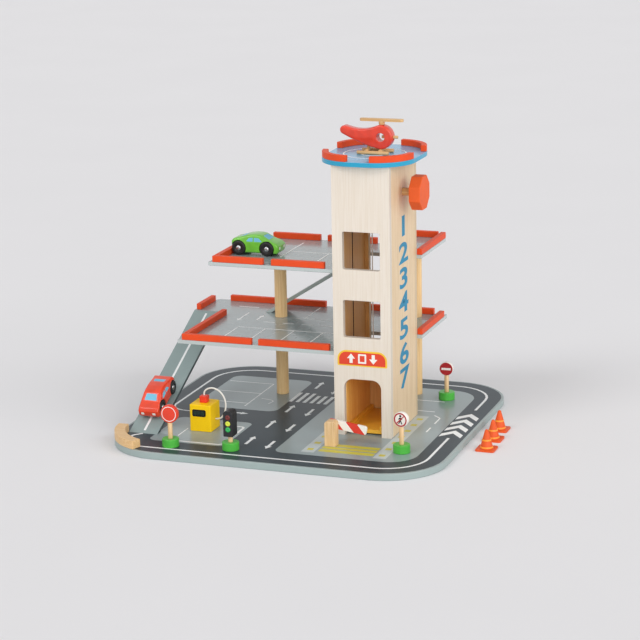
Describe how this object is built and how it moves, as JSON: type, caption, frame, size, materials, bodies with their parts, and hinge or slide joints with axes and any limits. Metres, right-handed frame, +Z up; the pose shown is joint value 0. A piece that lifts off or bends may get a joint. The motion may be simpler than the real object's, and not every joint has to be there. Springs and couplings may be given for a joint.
{
  "type": "toy parking garage with lift",
  "caption": "Wooden toy parking garage: round-cornered board, two decks joined by ramps, a lift tower with a crank-wound cabin and a helipad with rounded corners, with loose road pieces and toy cars.",
  "frame": {"origin": "centre of the base board's underside", "axes": "+X towards the side with the winch knob, +Y from the lift door towards the back, +Z up"},
  "size_m": [0.4875, 0.424, 0.4139],
  "materials": {
    "board_paint": "satin grey-green paint on fibreboard",
    "deck_paint": "satin grey-green paint on plywood",
    "birch_plywood": "clear lacquered birch plywood",
    "beech": "clear lacquered beech",
    "red_paint": "satin red-orange paint on wood",
    "orange_paint": "satin orange paint on wood",
    "blue_paint": "satin blue paint on plywood",
    "green_paint": "satin green paint on beech",
    "yellow_paint": "satin yellow paint on wood",
    "black_paint": "satin black paint on wood",
    "white_paint": "satin white paint on plywood",
    "car_green": "glossy green paint on wood",
    "car_red": "glossy red paint on wood",
    "white_cord": "white braided cotton cord"
  },
  "bodies": {
    "garage": {"base_board": "board_paint", "ramp_stop": "beech", "lower_deck": "deck_paint", "upper_deck": "deck_paint", "lower_ramp": "deck_paint", "upper_ramp": "deck_paint", "left_post": "beech", "right_post": "beech", "lower_rail_front_left": "red_paint", "lower_rail_front_right": "red_paint", "lower_rail_left": "red_paint", "lower_rail_landing": "red_paint", "lower_rail_back_left": "red_paint", "lower_rail_back_right": "red_paint", "lower_rail_right": "red_paint", "upper_rail_front_left": "red_paint", "upper_rail_front_right": "red_paint", "upper_rail_left": "red_paint", "upper_rail_step_left": "red_paint", "upper_rail_step_right": "red_paint", "upper_rail_back": "red_paint", "upper_rail_right": "red_paint", "tower_front_panel": "birch_plywood", "tower_rear_panel": "birch_plywood", "tower_left_panel": "birch_plywood", "tower_right_panel": "birch_plywood", "helipad_board": "blue_paint", "helipad_curb_1": "red_paint", "helipad_curb_2": "red_paint", "helipad_curb_3": "red_paint", "helipad_curb_4": "red_paint", "lift_cord": "white_cord"},
    "winch": {"winch_shaft": "beech", "winch_knob": "orange_paint"},
    "cabin": {"cabin_shell": "beech", "cabin_floor": "yellow_paint"},
    "pump": {"pump_body": "yellow_paint", "pump_cap": "red_paint", "pump_hose": "white_cord"},
    "stop_sign": {"stop_sign_foot": "green_paint", "stop_sign_board": "red_paint"},
    "no_entry_sign": {"no_entry_sign_foot": "green_paint", "no_entry_sign_board": "red_paint"},
    "no_walking_sign": {"no_walking_sign_foot": "green_paint", "no_walking_sign_board": "red_paint"},
    "traffic_light": {"traffic_light_foot": "green_paint", "traffic_light_head": "black_paint"},
    "barrier": {"barrier_post": "beech"},
    "boom": {"barrier_boom": "white_paint"},
    "cone_a": {"cone_1": "orange_paint"},
    "cone_b": {"cone_2": "orange_paint"},
    "cone_c": {"cone_3": "orange_paint"},
    "green_car": {"green_car_body": "car_green"},
    "green_rear_wheels": {"green_car_rear_wheels": "black_paint"},
    "green_front_wheels": {"green_car_front_wheels": "black_paint"},
    "red_car": {"red_car_body": "car_red"},
    "red_rear_wheels": {"red_car_rear_wheels": "black_paint"},
    "red_front_wheels": {"red_car_front_wheels": "black_paint"},
    "helicopter": {"helicopter_body": "red_paint"},
    "rotor": {"helicopter_rotor": "beech"}
  },
  "joints": [
    {"name": "winch_turn", "type": "hinge", "parent": "garage", "child": "winch", "pos_m": [0.0925, -0.014, 0.322], "axis": [-1, 0, 0], "range_deg": [0, 1095]},
    {"name": "lift_slide", "type": "slide", "parent": "garage", "child": "cabin", "axis": [0, 0, 1], "range_m": [0, 0.211], "deforming": ["lift_cord"]},
    {"name": "pump_lift", "type": "slide", "parent": "garage", "child": "pump", "axis": [0, 0, 1], "range_m": [0, 0.04]},
    {"name": "stop_sign_lift", "type": "slide", "parent": "garage", "child": "stop_sign", "axis": [0, 0, 1], "range_m": [0, 0.05]},
    {"name": "no_entry_sign_lift", "type": "slide", "parent": "garage", "child": "no_entry_sign", "axis": [0, 0, 1], "range_m": [0, 0.04]},
    {"name": "no_walking_sign_lift", "type": "slide", "parent": "garage", "child": "no_walking_sign", "axis": [0, 0, 1], "range_m": [0, 0.05]},
    {"name": "traffic_light_lift", "type": "slide", "parent": "garage", "child": "traffic_light", "axis": [0, 0, 1], "range_m": [0, 0.05]},
    {"name": "barrier_lift", "type": "slide", "parent": "garage", "child": "barrier", "axis": [0, 0, 1], "range_m": [0, 0.05]},
    {"name": "boom_swing", "type": "hinge", "parent": "barrier", "child": "boom", "pos_m": [0.0655, -0.1087, 0.0355], "axis": [0, -1, 0], "range_deg": [0, 80]},
    {"name": "cone_a_lift", "type": "slide", "parent": "garage", "child": "cone_a", "axis": [0, 0, 1], "range_m": [0, 0.05]},
    {"name": "cone_b_lift", "type": "slide", "parent": "garage", "child": "cone_b", "axis": [0, 0, 1], "range_m": [0, 0.05]},
    {"name": "cone_c_lift", "type": "slide", "parent": "garage", "child": "cone_c", "axis": [0, 0, 1], "range_m": [0, 0.05]},
    {"name": "green_car_roll", "type": "slide", "parent": "garage", "child": "green_car", "axis": [1, 0, 0], "range_m": [0, 0.06]},
    {"name": "green_rear_spin", "type": "hinge", "parent": "green_car", "child": "green_rear_wheels", "pos_m": [-0.09525, -0.005, 0.2368], "axis": [0, 1, 0], "range_deg": [0, 362]},
    {"name": "green_front_spin", "type": "hinge", "parent": "green_car", "child": "green_front_wheels", "pos_m": [-0.05575, -0.005, 0.2368], "axis": [0, 1, 0], "range_deg": [0, 362]},
    {"name": "red_car_roll", "type": "slide", "parent": "garage", "child": "red_car", "axis": [0, 0.9014, 0.433], "range_m": [0, 0.1]},
    {"name": "red_rear_spin", "type": "hinge", "parent": "red_car", "child": "red_rear_wheels", "pos_m": [-0.188, -0.06934, 0.05334], "axis": [-1, 0, 0], "range_deg": [0, 604]},
    {"name": "red_front_spin", "type": "hinge", "parent": "red_car", "child": "red_front_wheels", "pos_m": [-0.188, -0.10494, 0.03623], "axis": [-1, 0, 0], "range_deg": [0, 604]},
    {"name": "helicopter_lift", "type": "slide", "parent": "garage", "child": "helicopter", "axis": [0, 0, 1], "range_m": [0, 0.1]},
    {"name": "rotor_spin", "type": "hinge", "parent": "helicopter", "child": "rotor", "pos_m": [0.10225, -0.01, 0.41], "axis": [0, 0, 1], "continuous": true}
  ],
  "couplings": [
    {"joint": "winch_turn", "follows": "lift_slide", "rad_per_m": 90.498},
    {"joint": "green_rear_spin", "follows": "green_car_roll", "rad_per_m": 105.26},
    {"joint": "green_front_spin", "follows": "green_car_roll", "rad_per_m": 105.26},
    {"joint": "red_rear_spin", "follows": "red_car_roll", "rad_per_m": 105.26},
    {"joint": "red_front_spin", "follows": "red_car_roll", "rad_per_m": 105.26}
  ]
}
